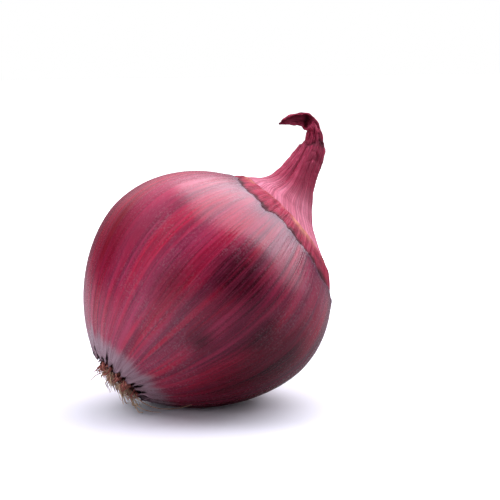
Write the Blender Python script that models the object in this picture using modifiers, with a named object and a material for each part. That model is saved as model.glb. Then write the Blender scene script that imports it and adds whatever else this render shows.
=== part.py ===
"""A red onion resting on its side, with its dried neck, loose outer skin, root plate and roots.

Metres, +Z up, the table at z = 0. The onion's own axis lies in the XZ plane. It runs up from the
root plate, which faces -X and down, to the neck, which leans towards +X. Every turned piece is
drawn upright about Z, with the bulb's widest ring at z = 0, and settle() then lays it down.
"""

import math
import random

import bpy
import numpy as np
from mathutils import Vector

# Driving sizes
BULB_RADIUS = 0.040  # at the widest ring, outside the skin
NECK_SIDE = 0.0362  # half length of the ellipsoid above the widest ring
ROOT_SIDE = 0.0436  # half length of the fuller end below it
ROOT_FULLNESS = 1.72  # exponent of the root end's curve; 2 is an ellipse
SKIN_THICKNESS = 0.0005
GAP = 0.0003  # between neighbouring pieces
TORN_RADIUS = 0.0293  # the bulb's radius where the outer skin has torn away
TORN_DEPTH = 0.0009  # how far the torn edge wanders along the bulb
TORN_TILT = 0.0032  # how much deeper it is torn on the lower side, and less deep on the upper
SHOULDER_WIDTH = 0.0103  # from the torn edge in to where the bulb turns up into the neck
FLARE_LENGTH = 0.0068  # length over which the flare shrinks to a third
NECK_RADIUS = 0.0050
NECK_LENGTH = 0.046  # along the middle line, from the flare to the tip
NECK_OFFSET = 0.0022  # the neck stands this far above the bulb's own axis
OFFSET_START = 0.0014  # below the flare
TIP_RADIUS = 0.0026  # half the width of the dried end
TAPER_START = 0.014  # along the neck
TIP_FLATNESS = 0.50  # thickness of the dried end over its width
NECK_FOLDS = 7
FOLD_DEPTH = 0.10  # of the neck's radius
CROWN_RADIUS = 0.0095  # opening that the skin gathers round at the root end
PLATE_CLEARANCE = 0.0010  # round the root plate, inside the skin
PLATE_THICKNESS = 0.0022
PLATE_DOME = 0.0009
ROOT_COUNT = 22
ROOT_RADIUS = 0.00045
ROOT_LENGTHS = (0.0026, 0.0046)
LONG_ROOTS = 7
LONG_LENGTHS = (0.0065, 0.0095)
ROOT_DROOP = 22.0  # fall of a root's tip over the square of its length, per metre

# What follows from them
FLARE_RADIUS = TORN_RADIUS - SHOULDER_WIDTH
PLATE_RADIUS = CROWN_RADIUS - SKIN_THICKNESS - PLATE_CLEARANCE

# Attitude and rest
LEAN = math.radians(47)  # of the axis from upright, towards +X
NECK_TURN = math.radians(20)  # the neck rises this much more steeply than the axis
HOOK_TURN = math.radians(145)  # further turn of the neck's dried end
HOOK_START = 0.025  # along the neck
SLUMP = 0.956  # height over the height of a round bulb
FLAT_DEPTH = 0.0009  # how far the belly is pressed flat

# Divisions
AROUND = 48
NECK_STEPS = 22
ROOT_POINTS = 6
LEAST_FLOOR = GAP  # nothing but the skin comes nearer to the table


def neck_side_radius(along):
    """Outer radius at a height above the widest ring: an ellipse."""
    return BULB_RADIUS * np.sqrt(np.clip(1 - (along / NECK_SIDE) ** 2, 0, 1))


def height_at(radius):
    """Height above the widest ring at which the ellipse has this radius."""
    return NECK_SIDE * math.sqrt(1 - (radius / BULB_RADIUS) ** 2)


def depth_at(radius):
    """Depth below the widest ring at which the root end has this radius."""
    share = 1 - (radius / BULB_RADIUS) ** ROOT_FULLNESS
    return ROOT_SIDE * share ** (1 / ROOT_FULLNESS)


def bulb_curve(start, end, count):
    """Points (radius, height) down the bulb's outer side from height start to depth end, even in
    angle on each side of the widest ring."""
    upper = np.linspace(math.asin(start / NECK_SIDE), 0, count, endpoint=False)
    power = 2 / ROOT_FULLNESS
    lower = np.linspace(0, math.asin((end / ROOT_SIDE) ** (1 / power)), count)
    above = np.stack([BULB_RADIUS * np.cos(upper), NECK_SIDE * np.sin(upper)], axis=1)
    below = np.stack(
        [BULB_RADIUS * np.cos(lower) ** power, -ROOT_SIDE * np.sin(lower) ** power], axis=1
    )
    return np.concatenate([above, below])


def inset(points, distance):
    """The same points moved inwards, square to the curve that they follow downwards."""
    slope = np.gradient(points, axis=0)
    slope /= np.linalg.norm(slope, axis=1, keepdims=True)
    return points + distance * np.stack([slope[:, 1], -slope[:, 0]], axis=1)


def smooth_step(value, low, high):
    """0 below low, 1 above high, with an even S between them."""
    share = np.clip((value - low) / (high - low), 0, 1)
    return share * share * (3 - 2 * share)


def middle_line():
    """The middle line as (length along it, x, z, heading): straight up the bulb, tilting to -X at
    the neck, and hooked over at the end. The heading is summed in small steps."""
    flare = height_at(FLARE_RADIUS)
    along = np.linspace(0, flare + NECK_LENGTH, 600)
    heading = NECK_TURN * smooth_step(along, flare, flare + 2 * FLARE_LENGTH)
    heading += HOOK_TURN * smooth_step(along, flare + HOOK_START, flare + NECK_LENGTH)
    step = along[1] - along[0]
    x = -np.concatenate([[0], np.cumsum(np.sin(heading[:-1]))]) * step
    z = np.concatenate([[0], np.cumsum(np.cos(heading[:-1]))]) * step
    x -= NECK_OFFSET * smooth_step(along, flare - OFFSET_START, flare + FLARE_LENGTH)
    return along, x, z, heading


def bent(radius, angle, along):
    """Places points given about the straight axis on the bent middle line."""
    line, line_x, line_z, line_heading = middle_line()
    heading = np.interp(along, line, line_heading)
    across = radius * np.cos(angle)
    x = np.interp(along, line, line_x) + across * np.cos(heading)
    z = np.where(along < 0, along, np.interp(along, line, line_z)) + across * np.sin(heading)
    return np.stack([x, radius * np.sin(angle), z], axis=-1)


def uneven(radius, angle, along):
    """The slight lobes that keep a grown bulb from being round."""
    lobes = 0.006 * np.cos(2 * angle + 0.7) + 0.004 * np.cos(3 * angle - 0.7)
    return radius * (1 + lobes * smooth_step(radius, CROWN_RADIUS, BULB_RADIUS))


def leaned(points):
    """Turns upright points about Y by LEAN, and lowers them by SLUMP."""
    x, y, z = points[..., 0], points[..., 1], points[..., 2]
    height = z * math.cos(LEAN) - x * math.sin(LEAN)
    return np.stack([x * math.cos(LEAN) + z * math.sin(LEAN), y, SLUMP * height], axis=-1)


def laid(radius, angle, along):
    """Upright radius, angle and height to a place in the finished frame, before it is pressed flat."""
    return leaned(bent(uneven(radius, angle, along), angle, along)) + origin_shift()


def origin_shift():
    """Brings the middle of the belly's flat spot to z = 0 below the widest ring's centre."""
    curve = bulb_curve(height_at(TORN_RADIUS), depth_at(CROWN_RADIUS), 200)
    angle = np.zeros(len(curve))
    belly = leaned(bent(uneven(curve[:, 0], angle, curve[:, 1]), angle, curve[:, 1]))
    return np.array([0, 0, -belly[:, 2].min() - FLAT_DEPTH])


def turned(name, profile):
    """A mesh turned about Z from a profile of (radius, height) that runs down its outer side."""
    points = [(float(radius), 0, float(height)) for radius, height in profile]
    edges = [(i, i + 1) for i in range(len(points) - 1)]
    mesh = bpy.data.meshes.new(name)
    mesh.from_pydata(points, edges, [])
    draft = bpy.data.objects.new(name, mesh)
    bpy.context.scene.collection.objects.link(draft)
    screw = draft.modifiers.new("turn", "SCREW")
    screw.steps = screw.render_steps = AROUND
    screw.use_merge_vertices = True
    screw.merge_threshold = 0.00001
    graph = bpy.context.evaluated_depsgraph_get()
    solid = bpy.data.meshes.new_from_object(draft.evaluated_get(graph), depsgraph=graph)
    bpy.data.objects.remove(draft)
    solid.name = name
    return solid


def settle(mesh, floor, reshape=None):
    """Lays an upright mesh down on its side, and presses what would go below floor flat."""
    points = np.empty(len(mesh.vertices) * 3, np.float32)
    mesh.vertices.foreach_get("co", points)
    x, y, z = points.reshape(-1, 3).astype(float).T
    radius, angle = np.hypot(x, y), np.arctan2(y, x)
    if reshape:
        radius, z = reshape(radius, angle, z)
    placed = laid(radius, angle, z)
    placed[:, 2] = np.maximum(placed[:, 2], floor)
    mesh.vertices.foreach_set("co", placed.astype(np.float32).ravel())
    mesh.update()


def add_piece(name, data, material):
    """Puts a piece's data in the onion's collection under the piece's own name."""
    piece = bpy.data.objects.new(name, data)
    data.materials.append(material)
    bpy.data.collections["onion"].objects.link(piece)
    return piece


def plain_material(name, colour, roughness):
    """A Principled material of one colour."""
    material = bpy.data.materials.new(name)
    material.use_nodes = True
    shader = material.node_tree.nodes["Principled BSDF"]
    shader.inputs["Base Color"].default_value = (*colour, 1)
    shader.inputs["Roughness"].default_value = roughness
    return material


def torn(radius, angle, along):
    """Tilts the skin's upper edge down towards the belly, and lets it wander in tears of several
    widths."""
    edge = height_at(TORN_RADIUS)
    tears = 0.5 * np.sin(3 * angle + 0.4) + 0.3 * np.sin(7 * angle + 1.9) + 0.2 * np.sin(13 * angle)
    move = TORN_DEPTH * tears - TORN_TILT * np.cos(angle)
    moved = along + move * smooth_step(along, 0.5 * edge, edge)
    return np.where(along > 0, neck_side_radius(moved), radius), np.where(along > 0, moved, along)


def folded(radius, angle, along):
    """Draws the neck into lengthwise folds that deepen towards its end, and flattens the end."""
    flare = height_at(FLARE_RADIUS)
    depth = FOLD_DEPTH * smooth_step(along, flare, flare + 0.5 * NECK_LENGTH)
    pleats = np.cos(NECK_FOLDS * angle + 0.5) + 0.5 * np.cos(3 * angle - 0.9)
    flat = 1 - (1 - TIP_FLATNESS) * smooth_step(along, flare + TAPER_START, flare + NECK_LENGTH)
    squeeze = np.sqrt((np.cos(angle) * flat) ** 2 + np.sin(angle) ** 2)
    return radius * squeeze * (1 + depth * pleats), along


def make_outer_skin():
    """The glossy outermost skin: a thin shell, open round the roots and torn round the shoulder."""
    mesh = turned("outer_skin", bulb_curve(height_at(TORN_RADIUS), depth_at(CROWN_RADIUS), 12))
    settle(mesh, 0, torn)
    skin = add_piece("outer_skin", mesh, plain_material("glossy_red_skin", (0.19, 0.012, 0.035), 0.3))
    wall = skin.modifiers.new("wall", "SOLIDIFY")
    wall.thickness = SKIN_THICKNESS
    wall.offset = -1
    wall.use_even_offset = True
    mesh.shade_smooth()


def neck_curve():
    """(radius, height) down the neck from its closed tip to the flare: a tube that widens
    exponentially into the shoulder."""
    flare = height_at(FLARE_RADIUS)
    along = flare + NECK_LENGTH * np.linspace(1, 0, NECK_STEPS, endpoint=False)
    widening = np.exp(-(along - flare) / FLARE_LENGTH)
    taper = np.clip((along - flare - TAPER_START) / (NECK_LENGTH - TAPER_START), 0, 1)
    radius = NECK_RADIUS + (TIP_RADIUS - NECK_RADIUS) * taper
    radius += (FLARE_RADIUS - NECK_RADIUS) * widening
    tip_share = np.clip((flare + NECK_LENGTH - along) / TIP_RADIUS, 0, 1)
    radius *= np.sqrt(1 - (1 - tip_share) ** 2)
    return np.stack([radius, along], axis=1)


def make_bulb():
    """The bulb and its dried neck, grown as one. The bulb ends in a flat seat for the root plate."""
    body = bulb_curve(height_at(FLARE_RADIUS), depth_at(CROWN_RADIUS), 12)
    body = inset(body, SKIN_THICKNESS + GAP)
    seat = -depth_at(CROWN_RADIUS) + PLATE_THICKNESS
    body = body[body[:, 1] > seat]
    profile = np.concatenate([neck_curve(), body, [(PLATE_RADIUS, seat), (0, seat)]])
    mesh = turned("bulb", profile)
    settle(mesh, SKIN_THICKNESS + GAP, folded)
    add_piece("bulb", mesh, plain_material("matte_red_skin", (0.30, 0.045, 0.075), 0.55))
    mesh.shade_smooth()


def make_root_plate():
    """The corky disc that the roots grow from, domed a little outwards."""
    top = -depth_at(CROWN_RADIUS) + PLATE_THICKNESS - GAP
    rim = top - PLATE_THICKNESS
    share = np.linspace(1, 0, 6)
    dome = np.stack([PLATE_RADIUS * share, rim - PLATE_DOME * (1 - share**2)], axis=1)
    mesh = turned("root_plate", np.concatenate([[(0, top), (PLATE_RADIUS, top)], dome]))
    settle(mesh, LEAST_FLOOR)
    add_piece("root_plate", mesh, plain_material("corky_root_plate", (0.25, 0.15, 0.09), 0.9))
    mesh.shade_smooth()


def root_route(index, chance):
    """One root's middle line: out from the plate, splayed away from its centre, curling a little
    and drooping. The outermost few are the long ones."""
    share = math.sqrt((index + 0.5) / ROOT_COUNT)
    angle = index * math.pi * (3 - math.sqrt(5))
    foot = (PLATE_RADIUS - 2 * ROOT_RADIUS) * share
    surface = -depth_at(CROWN_RADIUS) - GAP - PLATE_DOME * (1 - (foot / PLATE_RADIUS) ** 2)
    is_long = index >= ROOT_COUNT - LONG_ROOTS
    length = chance.uniform(*(LONG_LENGTHS if is_long else ROOT_LENGTHS))
    splay = 0.75 * share
    curl = chance.uniform(-0.12, 0.12)
    run = np.linspace(0, 1, ROOT_POINTS)
    radius = foot + length * splay * run**1.3
    depth = surface - GAP - ROOT_RADIUS * splay - length * (1 - 0.35 * splay) * run
    route = laid(radius, angle + curl * run**2, depth)
    route[:, 2] -= ROOT_DROOP * length**2 * run**2
    route[:, 2] = np.maximum(route[:, 2], LEAST_FLOOR + ROOT_RADIUS)
    return route


def make_roots():
    """The dried roots, each one its own piece."""
    chance = random.Random(7)
    material = plain_material("dry_root", (0.45, 0.33, 0.20), 0.9)
    for index in range(ROOT_COUNT):
        route = root_route(index, chance)
        curve = bpy.data.curves.new(f"root_{index + 1:02d}", "CURVE")
        curve.dimensions = "3D"
        curve.bevel_depth = ROOT_RADIUS
        curve.bevel_resolution = 1
        curve.use_fill_caps = True
        spline = curve.splines.new("POLY")
        spline.points.add(len(route) - 1)
        for point, place in zip(spline.points, route):
            point.co = (*Vector(place), 1)
        spline.use_smooth = True
        add_piece(curve.name, curve, material)


def main():
    for old in list(bpy.data.objects):
        bpy.data.objects.remove(old)
    onion = bpy.data.collections.new("onion")
    bpy.context.scene.collection.children.link(onion)
    make_bulb()
    make_outer_skin()
    make_root_plate()
    make_roots()


main()
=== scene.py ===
"""A red onion lying on its side, with its glossy torn skin, dried neck, root plate and roots.

Metres, +Z up, the table at z = 0. The onion is drawn upright about its own axis, with the widest
ring at height 0, the neck above it and the roots below. laid() then leans it over on its side. A
place on it is a radius, an angle and a height along the axis. Angle 0 is the belly that it lies on
and 180 degrees the upper side. Surfaces are grids: rows along the axis, columns round it.
"""

import itertools
import math
import random

import bpy
import numpy as np
from mathutils import Matrix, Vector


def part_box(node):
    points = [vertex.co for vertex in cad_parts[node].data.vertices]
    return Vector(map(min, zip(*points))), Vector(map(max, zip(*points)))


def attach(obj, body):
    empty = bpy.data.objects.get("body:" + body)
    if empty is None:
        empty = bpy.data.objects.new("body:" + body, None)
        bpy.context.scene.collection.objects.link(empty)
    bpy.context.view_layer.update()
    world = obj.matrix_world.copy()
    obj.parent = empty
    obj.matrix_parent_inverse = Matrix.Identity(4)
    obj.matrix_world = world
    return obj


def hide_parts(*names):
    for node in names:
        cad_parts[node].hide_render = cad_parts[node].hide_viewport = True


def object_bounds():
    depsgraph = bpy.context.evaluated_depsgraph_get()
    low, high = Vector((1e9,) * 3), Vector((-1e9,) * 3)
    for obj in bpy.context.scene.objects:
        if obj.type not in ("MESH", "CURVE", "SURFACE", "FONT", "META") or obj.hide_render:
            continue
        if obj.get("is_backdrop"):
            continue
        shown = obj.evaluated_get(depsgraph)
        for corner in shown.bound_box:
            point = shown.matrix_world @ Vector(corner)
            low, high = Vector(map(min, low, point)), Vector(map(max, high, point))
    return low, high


bl_info = {
    "name": "Red Onion",
    "version": (1, 0, 0),
    "blender": (4, 5, 0),
    "location": "3D View > Sidebar > Onion",
    "description": "Dresses a packed onion in its skin, neck, root plate, roots and materials",
    "category": "Add Mesh",
}

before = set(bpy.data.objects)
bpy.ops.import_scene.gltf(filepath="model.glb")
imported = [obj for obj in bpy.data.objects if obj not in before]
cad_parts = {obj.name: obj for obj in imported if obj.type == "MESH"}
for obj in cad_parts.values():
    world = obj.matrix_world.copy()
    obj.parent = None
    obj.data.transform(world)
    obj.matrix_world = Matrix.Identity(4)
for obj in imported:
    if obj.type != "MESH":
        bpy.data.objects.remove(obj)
CAD_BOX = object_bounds()
BODY = "root"
ROOT_NODES = sorted(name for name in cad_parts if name.startswith("root_") and name[5:].isdigit())


def lobes(angle):
    """The share by which a grown bulb is wider or narrower than round: two slow waves."""
    return 0.006 * np.cos(2 * angle + 0.7) + 0.004 * np.cos(3 * angle - 0.7)


def round_radius():
    """The bulb's radius without its lobes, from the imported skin's width at its two sides."""
    low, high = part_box("outer_skin")
    sides = np.array([-math.pi / 2, math.pi / 2])
    return round((high.y - low.y) / 2 / (1 + float(lobes(sides).mean())), 4)


# Sizes and colours


def number(name, description, value, **kind):
    """A number with its unit or subtype."""
    return bpy.props.FloatProperty(name=name, description=description, default=value, **kind)


def count(name, description, value):
    """How many of something there are."""
    return bpy.props.IntProperty(name=name, description=description, default=value, min=1)


def length(name, description, metres):
    """A size in metres."""
    return number(name, description, metres, min=0, precision=5, unit="LENGTH")


def turn(name, description, degrees):
    """An angle, given in degrees."""
    return number(name, description, math.radians(degrees), subtype="ANGLE")


def colour(name, description, red, green, blue):
    """A colour, given as screen values from 0 to 255 and kept as light."""
    screen = np.array([red, green, blue]) / 255
    light = np.where(screen > 0.04045, ((screen + 0.055) / 1.055) ** 2.4, screen / 12.92)
    return bpy.props.FloatVectorProperty(
        name=name, description=description, default=tuple(light), min=0, max=1, subtype="COLOR"
    )


class OnionSizes(bpy.types.PropertyGroup):
    """The onion's form. The bulb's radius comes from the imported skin."""

    bulb_radius: length("Bulb radius", "At the widest ring, outside the skin", round_radius())
    neck_side: length("Neck side", "Half length of the bulb above its widest ring", 0.0362)
    root_side: length("Root side", "Half length of the bulb below its widest ring", 0.0436)
    root_fullness: number("Root fullness", "Exponent of the root end's curve; 2 is round", 1.72, min=1)
    lean: turn("Lean", "Of the bulb's axis from upright, towards +X", 47)
    slump: number("Slump", "Height over the height of a round bulb", 0.956, subtype="FACTOR")
    flat_depth: length("Flat depth", "How far the belly is pressed flat", 0.0009)
    torn_radius: length("Torn radius", "The bulb's radius where the outer skin is torn", 0.0293)
    torn_depth: length("Torn depth", "How far the torn edge wanders", 0.0009)
    torn_tilt: length("Torn tilt", "How much deeper it is torn on the lower side", 0.0032)
    shoulder_width: length("Shoulder width", "From the torn edge in to the neck", 0.0103)
    rim_drop: length("Rim drop", "Of the second skin's edge, below the neck's foot", 0.0017)
    rim_tilt: length("Rim tilt", "How much lower that edge is on the lower side", 0.0027)
    neck_length: length("Neck length", "Along its middle line, to the tip", 0.046)
    flare_length: length("Flare length", "Over which the neck turns and shifts, twice this", 0.0068)
    neck_offset: length("Neck offset", "Of the neck from the bulb's axis", 0.0022)
    offset_start: length("Offset start", "Where the offset begins, below the neck's foot", 0.0014)
    neck_turn: turn("Neck turn", "The neck rises this much more steeply than the axis", 20)
    hook_turn: turn("Hook turn", "Further turn of the neck's dried end", 145)
    hook_start: length("Hook start", "Along the neck", 0.025)
    leaf_point: length("Leaf point", "How far the dried leaf reaches past the neck's end", 0.0016)
    skin_thickness: length("Skin thickness", "Of the papery outer skin", 0.00032)
    skin_gap: length("Skin gap", "From the outer skin to the next one", 0.00018)
    crown_radius: length("Crown radius", "Of the opening that the skin gathers round", 0.0095)
    notches: count("Notches", "Splits in the skin round the roots", 27)
    notch_depth: length("Notch depth", "Of the longest split", 0.0066)
    plate_clearance: length("Plate clearance", "Round the root plate", 0.0015)
    plate_thickness: length("Plate thickness", "Of the corky disc", 0.0022)
    plate_dome: length("Plate dome", "How far the disc bulges", 0.0009)
    root_radius: length("Root radius", "Of a root where it leaves the plate", 0.00045)
    cad_gap: length("Solid gap", "Between the packed solids", 0.0003)


class OnionColours(bpy.types.PropertyGroup):
    """The onion's colours, before light falls on them. Hollow is painted shade, and the rim and the flare
    carry painted highlights as well.
    """

    crimson: colour("Crimson", "Bright streaks of the glossy skin", 204, 14, 62)
    rose: colour("Rose", "Paler streaks of the glossy skin", 190, 60, 98)
    maroon: colour("Maroon", "Dark streaks and patches", 60, 2, 22)
    plum: colour("Plum", "Greyish streaks between the red ones", 102, 36, 64)
    lilac: colour("Lilac", "The skin round the roots", 172, 142, 152)
    deep: colour("Deep", "Deepest crimson, on the side away from the torn edge", 116, 0, 28)
    torn_edge: colour("Torn edge", "Thin dry border of the outer skin", 96, 54, 76)
    shoulder: colour("Shoulder", "The second skin", 172, 14, 60)
    # the rim colour is the dry edge's gold, and where the rim mask is strongest also a painted highlight
    rim: colour("Rim", "The second skin's dry edge", 232, 154, 124)
    # paler skin where the neck widens, made lighter still as a painted highlight
    flare: colour("Flare", "The neck where it widens", 228, 128, 152)
    neck: colour("Neck", "The narrow neck", 204, 70, 102)
    dry_tip: colour("Dry tip", "The neck's dried end", 206, 60, 96)
    # painted shade: the dark laid in folds, under edges and the collar, round the root plate and in its
    # pits, and on the skin's lining
    hollow: colour("Hollow", "Inside folds and under the crown", 38, 6, 16)
    cork: colour("Cork", "The root plate", 112, 66, 48)
    straw: colour("Straw", "Pale roots", 255, 220, 180)
    bark: colour("Bark", "Dark roots", 138, 50, 50)
    ember: colour("Ember", "Orange-pink flakes round the roots", 255, 160, 142)


class OnionStage(bpy.types.PropertyGroup):
    """The camera, the floor and the lights."""

    azimuth: turn("Azimuth", "Of the camera, towards +X from straight ahead", -23)
    elevation: turn("Elevation", "Of the camera above the table", 8)
    distance: length("Distance", "From the camera to the onion's middle", 0.5)
    aim_height: length("Aim height", "Of the onion's middle", 0.040)
    aim_right: length("Aim right", "Of the picture's middle from the onion's", 0.01295)
    aim_up: length("Aim up", "Of the picture's middle above the onion's", 0.00853)
    focal_length: number("Focal length", "Of the lens", 114, min=1, unit="CAMERA")
    floor_colour: colour("Floor", "Of the table", 244, 242, 246)
    floor_bounce: number("Floor bounce", "Share of light that its right half gives back", 0.12, max=1)
    overhead: number("Overhead", "Radiance of the wide box overhead", 3.2, min=0)
    wall: number("Wall", "Radiance of the small box on the right", 1.9, min=0)
    left: number("Left", "Radiance of the box on the left, which the skin doesn't mirror", 3.5, min=0)
    front: number("Front", "Radiance of the box in front, which the skin doesn't mirror", 3.0, min=0)
    backdrop: number("Backdrop", "Light from high behind the onion", 0.9, min=0)
    fill: number("Fill", "Light from in front of the onion", 0.04, min=0)


# Form: a place on the upright onion, and where it lies


def smooth_step(value, low, high):
    """0 below low, 1 above high, with an even S between them."""
    part = np.clip((value - low) / (high - low), 0, 1)
    return part * part * (3 - 2 * part)


def bell(value, width):
    """1 at 0, falling off evenly on both sides: e to the power of minus the square."""
    return np.exp(-((value / width) ** 2))


def side_by_side(*parts):
    """Arrays brought to one shape and joined in a new last direction."""
    return np.stack(np.broadcast_arrays(*parts), axis=-1)


def unit(vectors):
    """Vectors brought to length 1."""
    return vectors / np.maximum(np.linalg.norm(vectors, axis=-1, keepdims=True), 1e-12)


def kept_above(places, least):
    """Places lifted to this height where they are lower."""
    return side_by_side(places[..., 0], places[..., 1], np.maximum(places[..., 2], least))


def height_at(sizes, radius):
    """Height above the widest ring at which the bulb, an ellipse there, has this radius."""
    return sizes.neck_side * np.sqrt(1 - (radius / sizes.bulb_radius) ** 2)


def depth_at(sizes, radius):
    """Depth below the widest ring at which the fuller root end has this radius."""
    part = 1 - (radius / sizes.bulb_radius) ** sizes.root_fullness
    return sizes.root_side * part ** (1 / sizes.root_fullness)


def foot_height(sizes):
    """Height above the widest ring at which the neck begins."""
    return height_at(sizes, sizes.torn_radius - sizes.shoulder_width)


def bulb_curve(sizes, start, end, steps):
    """(radius, height) down the outer side, from height start to depth end: an ellipse to the
    widest ring, and below it cosine and sine, each raised to 2 over the root fullness."""
    upper = np.linspace(math.asin(start / sizes.neck_side), 0, steps, endpoint=False)
    power = 2 / sizes.root_fullness
    lower = np.linspace(0, math.asin((end / sizes.root_side) ** (1 / power)), steps)
    radius = sizes.bulb_radius * np.concatenate([np.cos(upper), np.cos(lower) ** power])
    above, below = sizes.neck_side * np.sin(upper), -sizes.root_side * np.sin(lower) ** power
    return np.stack([radius, np.concatenate([above, below])], axis=1)


def run_along(curve):
    """Distance along a curve of (radius, height) points."""
    steps = np.linalg.norm(np.diff(curve, axis=0), axis=1)
    return np.concatenate([[0], np.cumsum(steps)])


def middle_line(sizes):
    """The middle line as (height, x, z, heading): straight up the bulb, tilting to -X at the neck
    and hooked over at the end. The heading is summed in small steps."""
    foot = foot_height(sizes)
    along = np.linspace(0, foot + sizes.neck_length + sizes.leaf_point, 620)
    heading = sizes.neck_turn * smooth_step(along, foot, foot + 2 * sizes.flare_length)
    heading += sizes.hook_turn * smooth_step(along, foot + sizes.hook_start, foot + sizes.neck_length)
    step = along[1] - along[0]
    x = -np.concatenate([[0], np.cumsum(np.sin(heading[:-1]))]) * step
    z = np.concatenate([[0], np.cumsum(np.cos(heading[:-1]))]) * step
    x -= sizes.neck_offset * smooth_step(along, foot - sizes.offset_start, foot + sizes.flare_length)
    return along, x, z, heading


def bent(sizes, radius, angle, along):
    """Places on the bent middle line: out from it by radius, in the plane square to it."""
    line, line_x, line_z, line_heading = middle_line(sizes)
    heading = np.interp(along, line, line_heading)
    across = radius * np.cos(angle)
    x = np.interp(along, line, line_x) + across * np.cos(heading)
    z = np.where(along < 0, along, np.interp(along, line, line_z)) + across * np.sin(heading)
    return side_by_side(x, radius * np.sin(angle), z)


def leaned(sizes, places):
    """Upright places turned about Y by the lean, and lowered by the slump."""
    x, y, z = places[..., 0], places[..., 1], places[..., 2]
    height = z * math.cos(sizes.lean) - x * math.sin(sizes.lean)
    ahead = x * math.cos(sizes.lean) + z * math.sin(sizes.lean)
    return side_by_side(ahead, y, sizes.slump * height)


def laid(sizes, radius, angle, along):
    """Radius, angle and height on the upright onion to a place on the table: the lobes are added,
    the middle line is bent and leaned, and the belly's lowest line is sunk by the flat depth."""
    start, end = height_at(sizes, sizes.torn_radius), depth_at(sizes, sizes.crown_radius)
    reach, height = bulb_curve(sizes, start, end, 200).T
    belly = leaned(sizes, bent(sizes, reach * (1 + lobes(0)), 0 * height, height))
    fade = smooth_step(radius, sizes.crown_radius, sizes.bulb_radius)
    places = leaned(sizes, bent(sizes, radius * (1 + lobes(angle) * fade), angle, along))
    return places - [0, 0, belly[:, 2].min() + sizes.flat_depth]


def angles(columns):
    """Even angles round the axis, as one row."""
    return np.linspace(-math.pi, math.pi, columns, endpoint=False)[None, :]


def around(angle, centre):
    """The angle from centre, from -180 to 180 degrees."""
    return (angle - centre + math.pi) % (2 * math.pi) - math.pi


def waves(angle, counts, seed):
    """A sum of cosines round the axis, one for each count, with phases drawn from seed."""
    phases = np.random.default_rng(seed).uniform(0, 2 * math.pi, len(counts))
    return sum(np.cos(number * angle + phase) for number, phase in zip(counts, phases)) / len(counts)


def clouds(places, size, seed):
    """Smooth noise from -1 to 1: a random value at each corner of cubes of this size, blended
    between the eight corners round each place."""
    table = np.random.default_rng(seed).uniform(-1, 1, (32, 32, 32))
    spot = np.asarray(places) / size
    corner = np.floor(spot).astype(int)
    part = spot - corner
    part = part * part * (3 - 2 * part)
    total = 0
    for step in itertools.product((0, 1), repeat=3):
        weight = np.where(step, part, 1 - part).prod(axis=-1)
        x, y, z = np.moveaxis((corner + step) % 32, -1, 0)
        total = total + weight * table[x, y, z]
    return total


# Meshes


def ring_faces(rows, columns, joined=False):
    """Quads between neighbouring rows of a grid whose columns close in a ring. If joined, the last
    row meets the first one as well."""
    index = np.arange(rows * columns).reshape(rows, columns)
    if joined:
        index = np.concatenate([index, index[:1]])
    right = np.roll(index, -1, axis=1)
    return np.stack([index[:-1], index[1:], right[1:], right[:-1]], axis=-1).reshape(-1, 4)


def outward(places):
    """Unit normals of a grid, from the cross product of its two directions, pointing away from
    its middle line."""
    down = np.gradient(places, axis=0)
    wrapped = np.concatenate([places[:, -1:], places, places[:, :1]], axis=1)
    sideways = (wrapped[:, 2:] - wrapped[:, :-2]) / 2
    normals = unit(np.cross(down, sideways))
    middle = places.mean(axis=1, keepdims=True)
    facing = np.sign(((places - middle) * normals).sum(axis=-1).sum(axis=-1))
    facing[facing == 0] = 1
    return normals * facing[:, None, None]


def volume_of(places, faces):
    """Signed volume inside quads: the sum of the tetrahedra from the origin to their halves."""
    a, b, c, d = (places[faces[:, corner]] for corner in range(4))
    halves = np.cross(a, b) * c, np.cross(a, c) * d
    return sum(half.sum() for half in halves) / 6


def make_mesh(name, places, quads, caps=()):
    """A smooth mesh whose faces point outwards."""
    places = np.asarray(places, float).reshape(-1, 3)
    faces = [quads, *caps]
    if volume_of(places, quads) < 0:
        faces = [face[..., ::-1] for face in faces]
    mesh = bpy.data.meshes.new(name)
    mesh.from_pydata(places, [], [face for group in faces for face in group.tolist()])
    mesh.validate()
    mesh.shade_smooth()
    return mesh


def capped_tube(name, places):
    """A mesh from a grid whose first and last rows are closed by a many-sided face."""
    rows, columns = places.shape[:2]
    first = np.arange(columns)[None]
    caps = [first[:, ::-1], first + (rows - 1) * columns]
    return make_mesh(name, places, ring_faces(rows, columns), caps)


def set_grain(mesh, angle, run):
    """Keeps each vertex's place round and along the piece, for patterns that follow its growth."""
    values = side_by_side(np.cos(angle), np.sin(angle), run)
    grain = mesh.attributes.new("grain", "FLOAT_VECTOR", "POINT")
    grain.data.foreach_set("vector", values.astype(np.float32).ravel())


def set_masks(mesh, **kept):
    """Keeps numbers from 0 to 1 for each vertex, under these names."""
    for name, values in kept.items():
        mask = mesh.attributes.new(name, "FLOAT", "POINT")
        mask.data.foreach_set("value", np.clip(values, 0, 1).astype(np.float32).ravel())


def add_object(name, content):
    """Adds an object at the origin."""
    thing = bpy.data.objects.new(name, content)
    bpy.context.scene.collection.objects.link(thing)
    return thing


def add_piece(name, mesh, material, slot, *nodes):
    """Adds a finished piece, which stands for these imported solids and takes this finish."""
    mesh.materials.append(material)
    piece = add_object(name, mesh)
    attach(piece, BODY)
    if nodes:
        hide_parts(*nodes)


# Node groups and materials


def add_node(tree, kind, inputs=None, **settings):
    """Adds a node. Inputs are given by name or number: a socket is linked, and anything else is
    set as the value."""
    node = tree.nodes.new(kind)
    for name, value in settings.items():
        setattr(node, name, value)
    for name, value in (inputs or {}).items():
        if isinstance(value, bpy.types.NodeSocket):
            tree.links.new(value, node.inputs[name])
        else:
            node.inputs[name].default_value = value
    return node


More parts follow.
